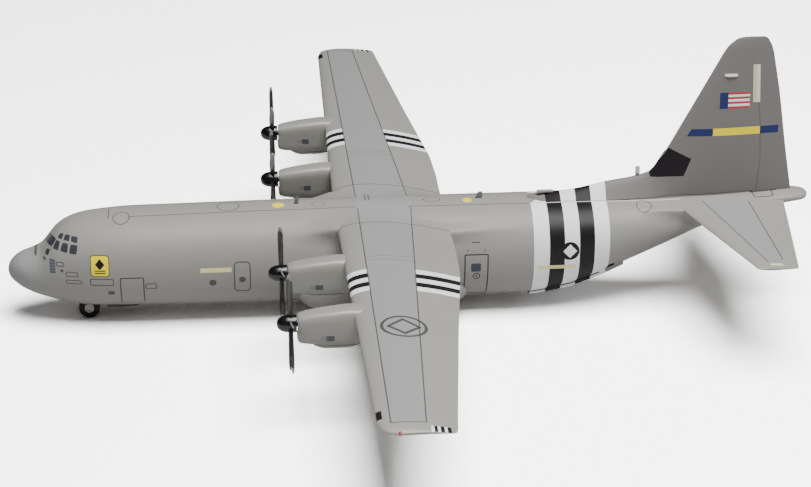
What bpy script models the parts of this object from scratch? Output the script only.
"""Display model, 1:200, of a stretched four-engine turboprop transport parked on its wheels.

The tables give the full-size aircraft in metres: x aft of the nose tip, y to starboard, z above the ground.
Each piece is shaped at that size, and to_model() brings it down to the display model.
The model's own frame has the nose towards -X and +Y to starboard, from the ground below mid length.
"""

import math

import bmesh
import bpy
from mathutils import Matrix, Vector

# Driving dimensions of the full-size aircraft, in metres
MODEL_SCALE = 1 / 200
LENGTH = 34.37
HALF_SPAN = 20.28
FIN_TOP = 11.82
BODY_HALF_WIDTH = 2.165

# Clearances on the model, brought up to the tables' size
SEAM = 0.0001 / MODEL_SCALE
RUNNING = 0.0001 / MODEL_SCALE

# Facets
BODY_POINTS = 32
NACELLE_POINTS = 24
AIRFOIL_STEPS = 10
TURN_STEPS = 24
PIN_STEPS = 16

# Fuselage sections: x, half width, top z, bottom z
FUSELAGE = (
    (0.00, 0.14, 2.40, 2.12),
    (0.10, 0.36, 2.60, 1.93),
    (0.30, 0.66, 2.81, 1.74),
    (0.60, 0.93, 2.98, 1.53),
    (1.00, 1.17, 3.08, 1.34),
    (1.40, 1.36, 3.25, 1.19),
    (1.80, 1.52, 3.72, 1.06),
    (2.10, 1.62, 4.12, 0.95),
    (2.40, 1.71, 4.32, 0.88),
    (2.80, 1.82, 4.51, 0.79),
    (3.40, 1.96, 4.65, 0.71),
    (4.20, 2.08, 4.73, 0.69),
    (5.20, 2.15, 4.79, 0.68),
    (7.00, BODY_HALF_WIDTH, 4.81, 0.64),
    (12.00, BODY_HALF_WIDTH, 4.85, 0.60),
    (21.50, BODY_HALF_WIDTH, 4.85, 0.60),
    (22.60, 2.15, 4.85, 0.72),
    (24.00, 2.10, 4.86, 1.04),
    (26.00, 1.90, 4.85, 1.81),
    (28.00, 1.56, 4.82, 2.68),
    (29.50, 1.28, 4.81, 3.37),
    (31.00, 1.02, 4.82, 3.90),
    (32.50, 0.76, 4.84, 4.24),
    (33.60, 0.55, 4.84, 4.42),
    (34.15, 0.34, 4.78, 4.50),
    (LENGTH, 0.14, 4.68, 4.55),
)
BODY_SQUARE = 2.2

# Fairings ahead of and behind the wing's middle section: x, half width, top z, widest z, bottom z
FRONT_FAIRING = (
    (12.10, 1.64, 4.40, 3.92, 2.90),
    (12.80, 1.79, 4.52, 4.10, 3.00),
    (13.40, 1.93, 4.63, 4.28, 3.15),
    (13.90, 2.03, 4.71, 4.42, 3.30),
    (14.60, 2.05, 4.75, 4.48, 3.40),
)
REAR_FAIRING = (
    (17.60, 2.03, 4.46, 4.20, 3.30),
    (18.80, 2.00, 4.38, 4.08, 3.20),
    (19.50, 1.90, 4.40, 4.05, 3.10),
    (20.40, 1.74, 4.42, 4.00, 3.00),
)
# Fairing where each tailplane leaves the fuselage, with the same columns
TAIL_FAIRING = (
    (26.60, 1.14, 4.70, 4.40, 3.60),
    (27.40, 1.30, 4.73, 4.46, 3.70),
    (28.00, 1.42, 4.76, 4.50, 3.80),
    (28.60, 1.54, 4.79, 4.56, 3.95),
    (29.00, 1.60, 4.80, 4.58, 4.05),
    (29.80, 1.48, 4.80, 4.58, 4.10),
)
FAIRING_SQUARE = 2.4

# Strips below the loading ramp's edges, and the low strakes behind them: x, bottom z
RAMP_STRIP = ((22.15, 0.72), (22.60, 0.76), (24.00, 1.02), (25.25, 1.50))
RAMP_STRAKE = ((25.42, 1.70), (26.15, 1.93))
RAMP_EDGE_Y = (0.94, 1.06)
RAMP_EDGE_HEIGHT = 0.40

# The wing's middle section crosses the fuselage and is part of it, out to the root seam
ROOT_SEAM_Y = 2.05
# Wing stations: y, leading edge x and z, trailing edge x and z, thickness to chord
WING = (
    (ROOT_SEAM_Y, 13.92, 4.39, 18.65, 4.22, 0.155),
    (4.20, 13.95, 4.41, 18.67, 4.24, 0.155),
    (6.40, 13.98, 4.44, 18.60, 4.26, 0.155),
    (12.00, 14.08, 4.52, 17.94, 4.37, 0.145),
    (19.30, 14.21, 4.62, 17.12, 4.54, 0.120),
    (19.90, 14.36, 4.62, 17.06, 4.54, 0.105),
    (20.17, 14.62, 4.61, 17.00, 4.55, 0.080),
    (HALF_SPAN, 14.98, 4.60, 16.88, 4.56, 0.045),
)
WING_CAMBER = 0.022

# Tailplane stations: y, leading edge x, trailing edge x, height, thickness to chord
TAILPLANE = (
    (0.42, 28.37, 33.24, 4.60, 0.085),
    (3.25, 29.16, 32.82, 4.65, 0.090),
    (7.50, 30.34, 32.18, 4.72, 0.095),
    (7.88, 30.58, 32.10, 4.73, 0.075),
    (8.02, 30.84, 31.98, 4.73, 0.040),
)

# Fin stations: z, leading edge x, trailing edge x, thickness to chord
FIN = (
    (4.55, 26.88, 33.71, 0.120),
    (6.93, 28.17, 33.28, 0.115),
    (9.40, 29.46, 32.88, 0.110),
    (11.10, 30.34, 32.53, 0.105),
    (11.40, 30.53, 32.43, 0.100),
    (11.62, 30.76, 32.31, 0.085),
    (11.76, 30.98, 32.20, 0.065),
    (FIN_TOP, 31.22, 32.08, 0.035),
)
# Dorsal fillet: x, ridge z, half width where it meets the fuselage
DORSAL = (
    (22.20, 4.87, 0.22),
    (22.95, 4.95, 0.46),
    (24.24, 5.13, 0.60),
    (25.53, 5.43, 0.62),
    (27.40, 5.83, 0.60),
    (28.23, 6.93, 0.52),
    (28.90, 7.05, 0.46),
)
DORSAL_FOOT_Z, DORSAL_SEAM_Z = 4.30, 4.80
# Mast on the dorsal fillet, moulded with it: x, chord, half width, foot z, top z
MAST = (26.82, 0.20, 0.06, 5.55, 6.09)

# Main gear fairings: x, outer y, top z, bottom z
SPONSON = (
    (12.30, 1.80, 1.75, 1.05),
    (12.75, 2.20, 2.06, 0.80),
    (13.50, 2.52, 2.30, 0.64),
    (14.40, 2.62, 2.38, 0.60),
    (17.30, 2.62, 2.38, 0.60),
    (18.30, 2.50, 2.24, 0.66),
    (19.00, 2.20, 1.98, 0.82),
    (19.40, 1.86, 1.70, 1.05),
)
SPONSON_INNER_Y = 0.90
SPONSON_SQUARE = 2.4

# Engines: number, y, spinner tip x, thrust line z, angle of the first blade from straight up
ENGINES = (
    (1, -10.17, 11.06, 4.14, 54),
    (2, -5.04, 10.90, 3.93, 54),
    (3, 5.04, 10.90, 3.93, 24),
    (4, 10.17, 11.06, 4.14, 24),
)
# Nacelle sections: distance aft of the cowl's front, half width, top and bottom from the thrust line
NACELLE = (
    (0.00, 0.37, 0.34, -0.72),
    (0.12, 0.42, 0.39, -0.78),
    (0.50, 0.47, 0.47, -0.86),
    (0.95, 0.50, 0.55, -1.04),
    (1.45, 0.52, 0.60, -1.06),
    (2.05, 0.52, 0.65, -1.03),
    (2.80, 0.50, 0.58, -0.84),
    (3.60, 0.42, 0.36, -0.76),
    (4.40, 0.31, 0.24, -0.72),
)
NACELLE_SQUARE = 3.4
INTAKE_HALF_WIDTH, INTAKE_HALF_HEIGHT, INTAKE_DROP, INTAKE_DEPTH = 0.25, 0.11, 0.52, 0.50
EXHAUST_RADIUS, EXHAUST_WALL, EXHAUST_LENGTH, EXHAUST_DROP = 0.25, 0.05, 0.60, 0.42
EXHAUST_DEPTH = 0.45

SPINNER_LENGTH, SPINNER_RADIUS = 0.78, 0.35
SHAFT_RADIUS, SHAFT_REACH = 0.12, 0.80
BLADE_COUNT = 6
BLADE_PLANE = 0.54
# Blade sections: radius, chord, thickness, pitch in degrees, sweep
BLADE = (
    (0.25, 0.18, 0.100, -50, 0.00),
    (0.60, 0.28, 0.075, -38, 0.02),
    (1.10, 0.34, 0.055, -30, 0.03),
    (1.60, 0.36, 0.042, -27, 0.00),
    (1.95, 0.34, 0.034, -25, -0.05),
    (2.10, 0.28, 0.028, -24, -0.08),
    (2.15, 0.18, 0.022, -24, -0.10),
)
BLADE_POINTS = 6

# Wheels: radius, hub radius, width
MAIN_RADIUS, MAIN_HUB, MAIN_WIDTH = 0.70, 0.36, 0.46
NOSE_RADIUS, NOSE_HUB, NOSE_WIDTH = 0.45, 0.22, 0.26
AXLE_RADIUS = 0.09
TYRE_POINTS = 8
TYRE_SQUARE = 2.7
HUB_DISH = 0.09

# Landing gear places
MAIN_WHEEL_Y = 2.17
MAIN_WHEEL_X = {"front": 14.89, "rear": 16.41}
WELL_X, WELL_Y, WELL_TOP = (14.06, 17.24), (1.72, 2.52), 1.50
BEAM_X, BEAM_Y, BEAM_Z = (14.60, 16.70), (1.74, 1.88), (0.56, 1.30)
NOSE_X, NOSE_WHEEL_Y = 3.34, 0.32
NOSE_WELL_X, NOSE_WELL_Y, NOSE_WELL_TOP = (2.80, 3.92), 0.56, 1.20
LEG_RADIUS, LUG_RADIUS, LUG_HALF_WIDTH = 0.10, 0.17, 0.14
NOSE_DOOR_X, NOSE_DOOR_Y, NOSE_DOOR_Z = (4.12, 5.45), (0.50, 0.58), (0.58, 0.90)

# Blade antennas on the spine: name, x, chord, height
ANTENNAS = (("antenna_front", 12.16, 0.22, 0.30), ("antenna_rear", 19.90, 0.34, 0.30))
ANTENNA_HALF_WIDTH = 0.04

# Materials: name, colour, roughness, metallic
MATERIALS = {
    "grey_paint": ((0.45, 0.45, 0.43), 0.45, 0.0),
    "black_paint": ((0.02, 0.02, 0.022), 0.30, 0.0),
    "tyre_rubber": ((0.02, 0.02, 0.02), 0.75, 0.0),
    "wheel_paint": ((0.55, 0.52, 0.50), 0.45, 0.0),
    "dark_metal": ((0.09, 0.085, 0.08), 0.45, 0.6),
    "leg_paint": ((0.60, 0.60, 0.58), 0.40, 0.0),
}


def clear_scene():
    for obj in list(bpy.data.objects):
        bpy.data.objects.remove(obj, do_unlink=True)


def new_collection():
    collection = bpy.data.collections.new("transport_model")
    bpy.context.scene.collection.children.link(collection)
    return collection


def new_materials():
    for name, (colour, roughness, metallic) in MATERIALS.items():
        material = bpy.data.materials.new(name)
        material.use_nodes = True
        shader = material.node_tree.nodes["Principled BSDF"]
        shader.inputs["Base Color"].default_value = (*colour, 1)
        shader.inputs["Roughness"].default_value = roughness
        shader.inputs["Metallic"].default_value = metallic


def object_from(name, bm):
    """An object in the parts' collection from a bmesh, with its faces pointing out."""
    bmesh.ops.recalc_face_normals(bm, faces=bm.faces)
    mesh = bpy.data.meshes.new(name)
    bm.to_mesh(mesh)
    bm.free()
    obj = bpy.data.objects.new(name, mesh)
    PARTS.objects.link(obj)
    return obj


def baked(obj):
    """The object with its modifiers applied and its places at the world's origin."""
    graph = bpy.context.evaluated_depsgraph_get()
    graph.update()
    mesh = bpy.data.meshes.new_from_object(obj.evaluated_get(graph))
    mesh.transform(obj.matrix_world)
    obj.modifiers.clear()
    obj.data = mesh
    obj.matrix_world = Matrix.Identity(4)
    return obj


def boolean(obj, tool, operation):
    """Joins the tool to the object or cuts it away, and removes the tool."""
    modifier = obj.modifiers.new(operation, "BOOLEAN")
    modifier.operation = operation
    modifier.solver = "EXACT"
    modifier.object = tool
    baked(obj)
    bpy.data.objects.remove(tool, do_unlink=True)
    return obj


def to_model(obj, material, pivot=(LENGTH / 2, 0, 0)):
    """Brings a full-size piece down to the model, with its origin at the pivot."""
    pivot = Vector(pivot)
    middle = Vector((LENGTH / 2, 0, 0))
    obj.data.transform(Matrix.Scale(MODEL_SCALE, 4) @ Matrix.Translation(-pivot))
    obj.location = (pivot - middle) * MODEL_SCALE
    obj.data.materials.clear()
    obj.data.materials.append(bpy.data.materials[material])
    obj.data.shade_smooth()
    obj.data.set_sharp_from_angle(angle=math.radians(35))
    return obj


def loft(name, rings):
    """A closed skin over rings of equally many points, with flat ends."""
    bm = bmesh.new()
    loops = [[bm.verts.new(point) for point in ring] for ring in rings]
    for near, far in zip(loops, loops[1:]):
        for i in range(len(near)):
            j = (i + 1) % len(near)
            bm.faces.new((near[i], near[j], far[j], far[i]))
    bm.faces.new(loops[0])
    bm.faces.new(loops[-1])
    return object_from(name, bm)


def box(name, x, y, z):
    """A block between two values along each axis."""
    bm = bmesh.new()
    bmesh.ops.create_cube(bm, size=1)
    size = Vector((x[1] - x[0], y[1] - y[0], z[1] - z[0]))
    centre = Vector((x[0] + x[1], y[0] + y[1], z[0] + z[1])) / 2
    bmesh.ops.transform(bm, matrix=Matrix.Translation(centre) @ Matrix.Diagonal((*size, 1)), verts=bm.verts)
    return object_from(name, bm)


def rod(name, start, end, radius, steps=PIN_STEPS):
    """A cylinder from one point to another."""
    start, end = Vector(start), Vector(end)
    bm = bmesh.new()
    length = (end - start).length
    bmesh.ops.create_cone(bm, cap_ends=True, segments=steps, radius1=radius, radius2=radius, depth=length)
    turn = (end - start).to_track_quat("Z", "Y").to_matrix().to_4x4()
    bmesh.ops.transform(bm, matrix=Matrix.Translation((start + end) / 2) @ turn, verts=bm.verts)
    return object_from(name, bm)


def turned(name, profile, axis, place, ring=False, steps=TURN_STEPS):
    """A profile of (distance, radius) points turned about an axis through the place."""
    mesh = bpy.data.meshes.new(name)
    count = len(profile)
    edges = [(i, i + 1) for i in range(count - 1)]
    if ring:
        edges.append((count - 1, 0))
    mesh.from_pydata([(radius, 0, distance) for distance, radius in profile], edges, [])
    obj = bpy.data.objects.new(name, mesh)
    PARTS.objects.link(obj)
    screw = obj.modifiers.new("turn", "SCREW")
    screw.steps = steps
    screw.render_steps = steps
    screw.use_merge_vertices = True
    screw.merge_threshold = 0.0001
    obj.rotation_euler = Vector(axis).to_track_quat("Z", "Y").to_euler()
    obj.location = place
    bpy.context.view_layer.update()
    baked(obj)
    bm = bmesh.new()
    bm.from_mesh(obj.data)
    bmesh.ops.remove_doubles(bm, verts=bm.verts, dist=0.0001)
    bmesh.ops.recalc_face_normals(bm, faces=bm.faces)
    bm.to_mesh(obj.data)
    bm.free()
    return obj


def superellipse(count, square):
    """Points (across, up) round a unit rounded square, with a flat facet at its foot and its top."""
    flat = math.cos(math.pi / count) ** (2 / square)
    points = []
    for i in range(count):
        angle = 2 * math.pi * (i + 0.5) / count
        across = math.copysign(abs(math.cos(angle)) ** (2 / square), math.cos(angle))
        up = math.copysign(abs(math.sin(angle)) ** (2 / square), math.sin(angle))
        points.append((across / flat, up / flat))
    return points


def body_ring(x, left, right, bottom, top, square, count):
    """A rounded section across the x axis."""
    y, z = (left + right) / 2, (bottom + top) / 2
    half_width, half_height = (right - left) / 2, (top - bottom) / 2
    outline = superellipse(count, square)
    return [(x, y + half_width * across, z + half_height * up) for across, up in outline]


def fairing_ring(x, half_width, top, widest, bottom, gap):
    """A rounded section across the x axis, deeper below its widest place than above it."""
    ring = []
    for across, up in superellipse(BODY_POINTS, FAIRING_SQUARE):
        reach = top - widest if up > 0 else widest - bottom
        ring.append((x, (half_width + gap) * across, widest + (reach + gap) * up))
    return ring


def airfoil(thickness, camber):
    """Points (along, up) of a unit-chord wing section, from the trailing edge over the top and back."""
    along = [(1 + math.cos(math.pi * i / AIRFOIL_STEPS)) / 2 for i in range(AIRFOIL_STEPS + 1)]
    half = [
        5 * thickness * (0.2969 * math.sqrt(c) - 0.1260 * c - 0.3516 * c**2 + 0.2843 * c**3 - 0.1015 * c**4)
        for c in along
    ]
    middle = [4 * camber * c * (1 - c) for c in along]
    upper = [(c, m + h) for c, m, h in zip(along, middle, half)]
    lower = [(c, m - h) for c, m, h in zip(along, middle, half)]
    return upper + lower[-2::-1]


def outset(points, gap):
    """A flat outline moved outwards by the gap, for a cutter that leaves a seam."""
    grown = []
    for i, (x, z) in enumerate(points):
        before, after = points[i - 1], points[(i + 1) % len(points)]
        run = Vector((after[0] - before[0], after[1] - before[1])).normalized()
        grown.append((x + run.y * gap, z - run.x * gap))
    return grown


def wing_outline(front, back, thickness, camber=0.0, gap=0.0):
    """A wing section between its leading and trailing edge, each a point (x, height)."""
    chord = back[0] - front[0]
    rise = back[1] - front[1]
    section = airfoil(thickness, camber)
    points = [(front[0] + c * chord, front[1] + c * rise + up * chord) for c, up in section]
    # The outline runs anticlockwise, so its outside is to the right of each step.
    return outset(points, gap)


def wing_ring(y, section, gap=0.0):
    x_front, z_front, x_back, z_back, thickness = section
    outline = wing_outline((x_front, z_front), (x_back, z_back), thickness, WING_CAMBER, gap)
    return [(x, y, z) for x, z in outline]


def wing_skin(name, side, gap=0.0):
    start = ROOT_SEAM_Y + SEAM - gap
    rings = [wing_ring(side * start, WING[0][1:], gap)]
    return loft(name, rings + [wing_ring(side * y, section, gap) for y, *section in WING[1:]])


def fuselage_skin(name, gap=0.0):
    """The fuselage with the wing's middle section and its fairings, grown by a gap where it is a cutter."""
    skins = []
    rings = []
    for x, half_width, top, bottom in FUSELAGE:
        half = half_width + gap
        rings.append(body_ring(x, -half, half, bottom - gap, top + gap, BODY_SQUARE, BODY_POINTS))
    skins.append(loft(name, rings))
    for table in (FRONT_FAIRING, REAR_FAIRING, TAIL_FAIRING):
        skins.append(loft(name, [fairing_ring(*section, gap) for section in table]))
    reach = ROOT_SEAM_Y + gap
    skins.append(loft(name, [wing_ring(y, WING[0][1:], gap) for y in (-reach, reach)]))
    body = skins[0]
    for skin in skins[1:]:
        boolean(body, skin, "UNION")
    return body


def add_ramp_edges(body, side):
    near, far = side * RAMP_EDGE_Y[0], side * RAMP_EDGE_Y[1]
    for table in (RAMP_STRIP, RAMP_STRAKE):
        rings = []
        for x, low in table:
            high = low + RAMP_EDGE_HEIGHT
            rings.append([(x, near, low), (x, far, low), (x, far, high), (x, near, high)])
        boolean(body, loft("ramp_edge", rings), "UNION")


def make_fuselage():
    body = fuselage_skin("fuselage")
    for side in (-1, 1):
        add_ramp_edges(body, side)
    well = box("nose_well", NOSE_WELL_X, (-NOSE_WELL_Y, NOSE_WELL_Y), (0, NOSE_WELL_TOP))
    boolean(body, well, "DIFFERENCE")
    return to_model(body, "grey_paint")


def make_wing(name, side):
    return to_model(wing_skin(name, side), "grey_paint")


def make_tailplane(name, side):
    rings = []
    for y, x_front, x_back, height, thickness in TAILPLANE:
        outline = wing_outline((x_front, height), (x_back, height), thickness)
        rings.append([(x, side * y, z) for x, z in outline])
    tailplane = loft(name, rings)
    boolean(tailplane, fuselage_skin("tail_seat", SEAM), "DIFFERENCE")
    return to_model(tailplane, "grey_paint")


def dorsal_ring(x, top, half_width):
    """A section of the dorsal fillet, from its foot inside the fuselage to its rounded ridge."""
    shape = (
        (1.10, DORSAL_FOOT_Z),
        (1.00, DORSAL_SEAM_Z),
        (0.80, DORSAL_SEAM_Z + (top - DORSAL_SEAM_Z) * 0.40),
        (0.50, DORSAL_SEAM_Z + (top - DORSAL_SEAM_Z) * 0.78),
        (0.16, top),
    )
    near = [(x, -half_width * share, z) for share, z in shape]
    far = [(x, half_width * share, z) for share, z in reversed(shape)]
    return near + far


def blade_ring(x, chord, half_width, z):
    """A lens-shaped level section, of an antenna."""
    middle = x + chord / 2
    return [(x, 0, z), (middle, -half_width, z), (x + chord, 0, z), (middle, half_width, z)]


def make_fin():
    rings = []
    for z, x_front, x_back, thickness in FIN:
        rings.append([(x, y, z) for x, y in wing_outline((x_front, 0), (x_back, 0), thickness)])
    fin = loft("fin", rings)
    boolean(fin, loft("dorsal", [dorsal_ring(*section) for section in DORSAL]), "UNION")
    x, chord, half_width, foot, top = MAST
    boolean(fin, loft("mast", [blade_ring(x, chord, half_width, z) for z in (foot, top)]), "UNION")
    boolean(fin, fuselage_skin("fin_seat", SEAM), "DIFFERENCE")
    return to_model(fin, "grey_paint")


def make_sponson(name, side):
    rings = []
    for x, outer, top, bottom in SPONSON:
        low, high = sorted((side * SPONSON_INNER_Y, side * outer))
        rings.append(body_ring(x, low, high, bottom, top, SPONSON_SQUARE, NACELLE_POINTS))
    sponson = loft(name, rings)
    boolean(sponson, fuselage_skin("sponson_seat", SEAM), "DIFFERENCE")
    well = box("main_well", WELL_X, sorted((side * WELL_Y[0], side * WELL_Y[1])), (0, WELL_TOP))
    boolean(sponson, well, "DIFFERENCE")
    return to_model(sponson, "grey_paint")


def make_nacelle(number, y, tip_x, line_z):
    side = math.copysign(1, y)
    front = tip_x + SPINNER_LENGTH + 2 * SEAM
    rings = []
    for aft, half_width, top, bottom in NACELLE:
        left, right = y - half_width, y + half_width
        low, high = line_z + bottom, line_z + top
        rings.append(body_ring(front + aft, left, right, low, high, NACELLE_SQUARE, NACELLE_POINTS))
    nacelle = loft(f"nacelle_{number}", rings)
    boolean(nacelle, wing_skin("wing_seat", side, SEAM), "DIFFERENCE")
    bore_radius = SHAFT_RADIUS + RUNNING
    bore_end = front + SHAFT_REACH
    bore = rod("bore", (front - SHAFT_RADIUS, y, line_z), (bore_end, y, line_z), bore_radius)
    boolean(nacelle, bore, "DIFFERENCE")
    intake = []
    low = line_z - INTAKE_DROP - INTAKE_HALF_HEIGHT
    high = line_z - INTAKE_DROP + INTAKE_HALF_HEIGHT
    for x in (front - SEAM, front + INTAKE_DEPTH):
        left, right = y - INTAKE_HALF_WIDTH, y + INTAKE_HALF_WIDTH
        intake.append(body_ring(x, left, right, low, high, NACELLE_SQUARE, PIN_STEPS))
    boolean(nacelle, loft("intake", intake), "DIFFERENCE")
    back = front + NACELLE[-1][0]
    pipe_z = line_z - EXHAUST_DROP
    socket_radius = EXHAUST_RADIUS + SEAM
    socket = rod("socket", (back - EXHAUST_DEPTH / 2, y, pipe_z), (back + SEAM, y, pipe_z), socket_radius)
    boolean(nacelle, socket, "DIFFERENCE")
    return to_model(nacelle, "grey_paint")


def make_exhaust(number, y, tip_x, line_z):
    back = tip_x + SPINNER_LENGTH + 2 * SEAM + NACELLE[-1][0]
    start = back - EXHAUST_DEPTH / 2 + SEAM
    inner = EXHAUST_RADIUS - EXHAUST_WALL
    floor = EXHAUST_DEPTH / 2
    outside = ((0, 0), (0, EXHAUST_RADIUS), (EXHAUST_LENGTH, EXHAUST_RADIUS))
    profile = outside + ((EXHAUST_LENGTH, inner), (floor, inner), (floor, 0))
    place = (start, y, line_z - EXHAUST_DROP)
    pipe = turned(f"exhaust_{number}", profile, (1, 0, 0), place, steps=PIN_STEPS)
    return to_model(pipe, "dark_metal")


def blade_rings(angle):
    """One curved blade's sections, for a propeller whose axis runs through the origin along x."""
    out = Vector((0, math.sin(angle), math.cos(angle)))
    round_ = Vector((0, math.cos(angle), -math.sin(angle)))
    axial = Vector((1, 0, 0))
    rings = []
    for radius, chord, thickness, pitch, sweep in BLADE:
        tilt = math.radians(pitch)
        along = round_ * math.cos(tilt) + axial * math.sin(tilt)
        across = axial * math.cos(tilt) - round_ * math.sin(tilt)
        ring = []
        for i in range(BLADE_POINTS):
            turn = 2 * math.pi * i / BLADE_POINTS
            step = along * (chord / 2 * math.cos(turn)) + across * (thickness / 2 * math.sin(turn))
            ring.append(out * radius + round_ * sweep + step)
        rings.append(ring)
    return rings


def make_propeller(number, y, tip_x, line_z, first_angle):
    nose = []
    for i in range(8):
        turn = math.pi / 2 * i / 7
        nose.append((SPINNER_LENGTH * 0.75 * (1 - math.cos(turn)), SPINNER_RADIUS * math.sin(turn)))
    back = SPINNER_LENGTH
    profile = nose + [(back, SPINNER_RADIUS), (back, SHAFT_RADIUS)]
    shaft_end = back + SHAFT_REACH - SEAM
    profile += [(shaft_end, SHAFT_RADIUS), (shaft_end, 0)]
    propeller = turned(f"propeller_{number}", profile, (1, 0, 0), (tip_x, y, line_z))
    hub = Vector((tip_x + BLADE_PLANE, y, line_z))
    for k in range(BLADE_COUNT):
        angle = math.radians(first_angle + 360 / BLADE_COUNT * k)
        rings = [[hub + point for point in ring] for ring in blade_rings(angle)]
        boolean(propeller, loft("blade", rings), "UNION")
    return to_model(propeller, "black_paint", hub)


def tyre_profile(radius, hub_radius, width):
    """A closed tyre section of (distance, radius) points, flat at its widest."""
    middle, half_height = (radius + hub_radius) / 2, (radius - hub_radius) / 2
    section = superellipse(TYRE_POINTS, TYRE_SQUARE)
    return [(width / 2 * across, middle + half_height * up) for across, up in section]


def make_tyre(name, radius, hub_radius, width, centre):
    tyre = turned(name, tyre_profile(radius, hub_radius, width), (0, 1, 0), centre, ring=True)
    return to_model(tyre, "tyre_rubber", centre)


def hub_profile(hub_radius, width, bore):
    """A dished disc with a rim at each side and a bore, as (distance, radius) points."""
    rim = width * 0.36
    web = rim - HUB_DISH
    outer = hub_radius - SEAM
    lip = outer * 0.84
    return (
        (-rim, outer),
        (-rim, lip),
        (-web, lip * 0.8),
        (-web, bore),
        (web, bore),
        (web, lip * 0.8),
        (rim, lip),
        (rim, outer),
    )


def make_main_hub(name, centre):
    profile = hub_profile(MAIN_HUB, MAIN_WIDTH, AXLE_RADIUS + RUNNING)
    return to_model(turned(name, profile, (0, 1, 0), centre, ring=True), "wheel_paint", centre)


def make_main_leg(name, side):
    """A beam in the wheel well with an axle pin for the front and the rear wheel."""
    leg = box(name, BEAM_X, sorted((side * BEAM_Y[0], side * BEAM_Y[1])), BEAM_Z)
    end = MAIN_WHEEL_Y + MAIN_WIDTH * 0.36
    start = BEAM_Y[0] + SEAM
    for x in MAIN_WHEEL_X.values():
        pin = rod("pin", (x, side * start, MAIN_RADIUS), (x, side * end, MAIN_RADIUS), AXLE_RADIUS)
        boolean(leg, pin, "UNION")
    return to_model(leg, "leg_paint")


def make_nose_wheels():
    centre = (NOSE_X, 0, NOSE_RADIUS)
    end = NOSE_WHEEL_Y + NOSE_WIDTH * 0.36
    axle = rod("nose_axle", (NOSE_X, -end, NOSE_RADIUS), (NOSE_X, end, NOSE_RADIUS), AXLE_RADIUS)
    for side, word in ((-1, "left"), (1, "right")):
        place = (NOSE_X, side * NOSE_WHEEL_Y, NOSE_RADIUS)
        profile = hub_profile(NOSE_HUB, NOSE_WIDTH, AXLE_RADIUS * 0.7)
        boolean(axle, turned("hub", profile, (0, 1, 0), place, ring=True), "UNION")
        make_tyre(f"nose_tyre_{word}", NOSE_RADIUS, NOSE_HUB, NOSE_WIDTH, place)
    return to_model(axle, "wheel_paint", centre)


def make_nose_leg():
    top = NOSE_WELL_TOP - SEAM
    leg = rod("nose_leg", (NOSE_X, 0, NOSE_RADIUS), (NOSE_X, 0, top), LEG_RADIUS)
    ends = [(NOSE_X, side * LUG_HALF_WIDTH, NOSE_RADIUS) for side in (-1, 1)]
    boolean(leg, rod("lug", ends[0], ends[1], LUG_RADIUS), "UNION")
    reach = 2 * LUG_HALF_WIDTH
    bore = rod("bore", (NOSE_X, -reach, NOSE_RADIUS), (NOSE_X, reach, NOSE_RADIUS), AXLE_RADIUS + RUNNING)
    boolean(leg, bore, "DIFFERENCE")
    return to_model(leg, "leg_paint")


def make_nose_door(name, side):
    door = box(name, NOSE_DOOR_X, sorted((side * NOSE_DOOR_Y[0], side * NOSE_DOOR_Y[1])), NOSE_DOOR_Z)
    boolean(door, fuselage_skin("door_seat", SEAM), "DIFFERENCE")
    return to_model(door, "dark_metal")


def spine_z(x):
    """The height of the fuselage's top at a station."""
    for near, far in zip(FUSELAGE, FUSELAGE[1:]):
        if near[0] <= x <= far[0]:
            share = (x - near[0]) / (far[0] - near[0])
            return near[2] + share * (far[2] - near[2])
    return FUSELAGE[-1][2]


def make_antenna(name, x, chord, height):
    foot, top = spine_z(x) - 2 * SEAM, spine_z(x) + height
    low = blade_ring(x, chord, ANTENNA_HALF_WIDTH, foot)
    high = blade_ring(x + chord * 0.45, chord * 0.55, ANTENNA_HALF_WIDTH, top)
    antenna = loft(name, [low, high])
    boolean(antenna, fuselage_skin("antenna_seat", SEAM), "DIFFERENCE")
    return to_model(antenna, "grey_paint")


def build_airframe():
    make_fuselage()
    make_fin()
    for side, word in ((-1, "left"), (1, "right")):
        make_wing(f"wing_{word}", side)
        make_tailplane(f"tailplane_{word}", side)
        make_sponson(f"sponson_{word}", side)
        make_nose_door(f"nose_door_{word}", side)
    for name, x, chord, height in ANTENNAS:
        make_antenna(name, x, chord, height)


def build_engines():
    for number, y, tip_x, line_z, first_angle in ENGINES:
        make_nacelle(number, y, tip_x, line_z)
        make_exhaust(number, y, tip_x, line_z)
        make_propeller(number, y, tip_x, line_z, first_angle)


def build_gear():
    make_nose_leg()
    make_nose_wheels()
    for side, word in ((-1, "left"), (1, "right")):
        make_main_leg(f"main_leg_{word}", side)
        for end, x in MAIN_WHEEL_X.items():
            centre = (x, side * MAIN_WHEEL_Y, MAIN_RADIUS)
            make_tyre(f"main_tyre_{word}_{end}", MAIN_RADIUS, MAIN_HUB, MAIN_WIDTH, centre)
            make_main_hub(f"main_hub_{word}_{end}", centre)


clear_scene()
PARTS = new_collection()
new_materials()
build_airframe()
build_engines()
build_gear()
